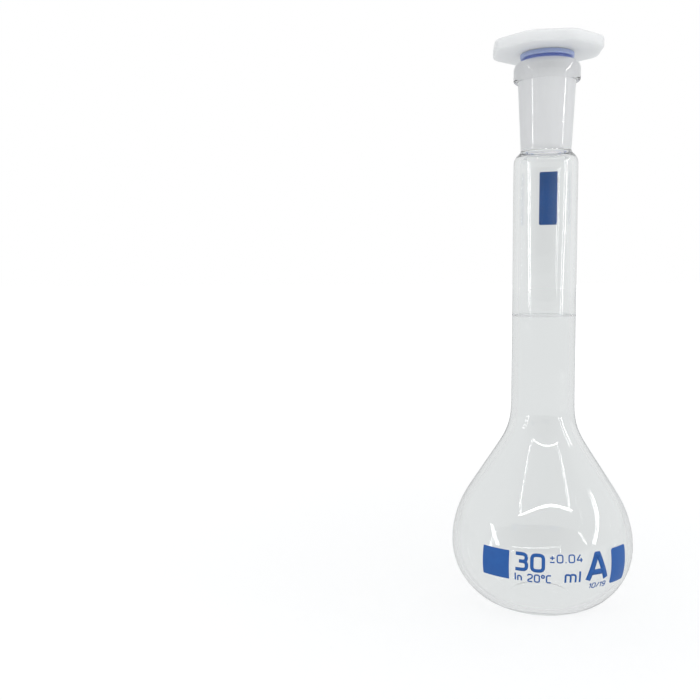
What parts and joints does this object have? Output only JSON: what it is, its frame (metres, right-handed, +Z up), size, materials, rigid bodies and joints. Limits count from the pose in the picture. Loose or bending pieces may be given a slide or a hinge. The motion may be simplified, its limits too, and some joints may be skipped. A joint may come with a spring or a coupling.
{
  "type": "volumetric flask",
  "caption": "Small glass volumetric flask: round bulb, long neck with a graduation line, ground taper socket and an octagonal polyethylene stopper.",
  "frame": {"origin": "centre of the foot, on the surface that the flask stands on", "axes": "+Z up along the axis of neck and bulb, the printed side of the bulb faces -Y"},
  "size_m": [0.04, 0.04, 0.1239],
  "materials": {
    "glass": "clear, fire polished",
    "natural_polyethylene": "milky, waxy",
    "blue_plastic": "moulded satin",
    "blue_enamel": "fired on, satin",
    "pale_enamel": "fired on, satin"
  },
  "bodies": {
    "flask": {"bulb_and_neck": "glass", "ground_socket": "glass", "graduation_ring": "pale_enamel", "marking_square": "blue_enamel", "bulb_panel": "blue_enamel", "neck_panel": "blue_enamel"},
    "collar": {"colour_ring": "blue_plastic"},
    "stopper": {"stopper": "natural_polyethylene"}
  },
  "joints": [
    {"name": "stopper_lift", "type": "slide", "parent": "flask", "child": "collar", "axis": [0, 0, 1], "range_m": [0, 0.03]},
    {"name": "stopper_twist", "type": "hinge", "parent": "collar", "child": "stopper", "pos_m": [0, 0, 0.1215], "axis": [0, 0, 1], "continuous": true}
  ]
}
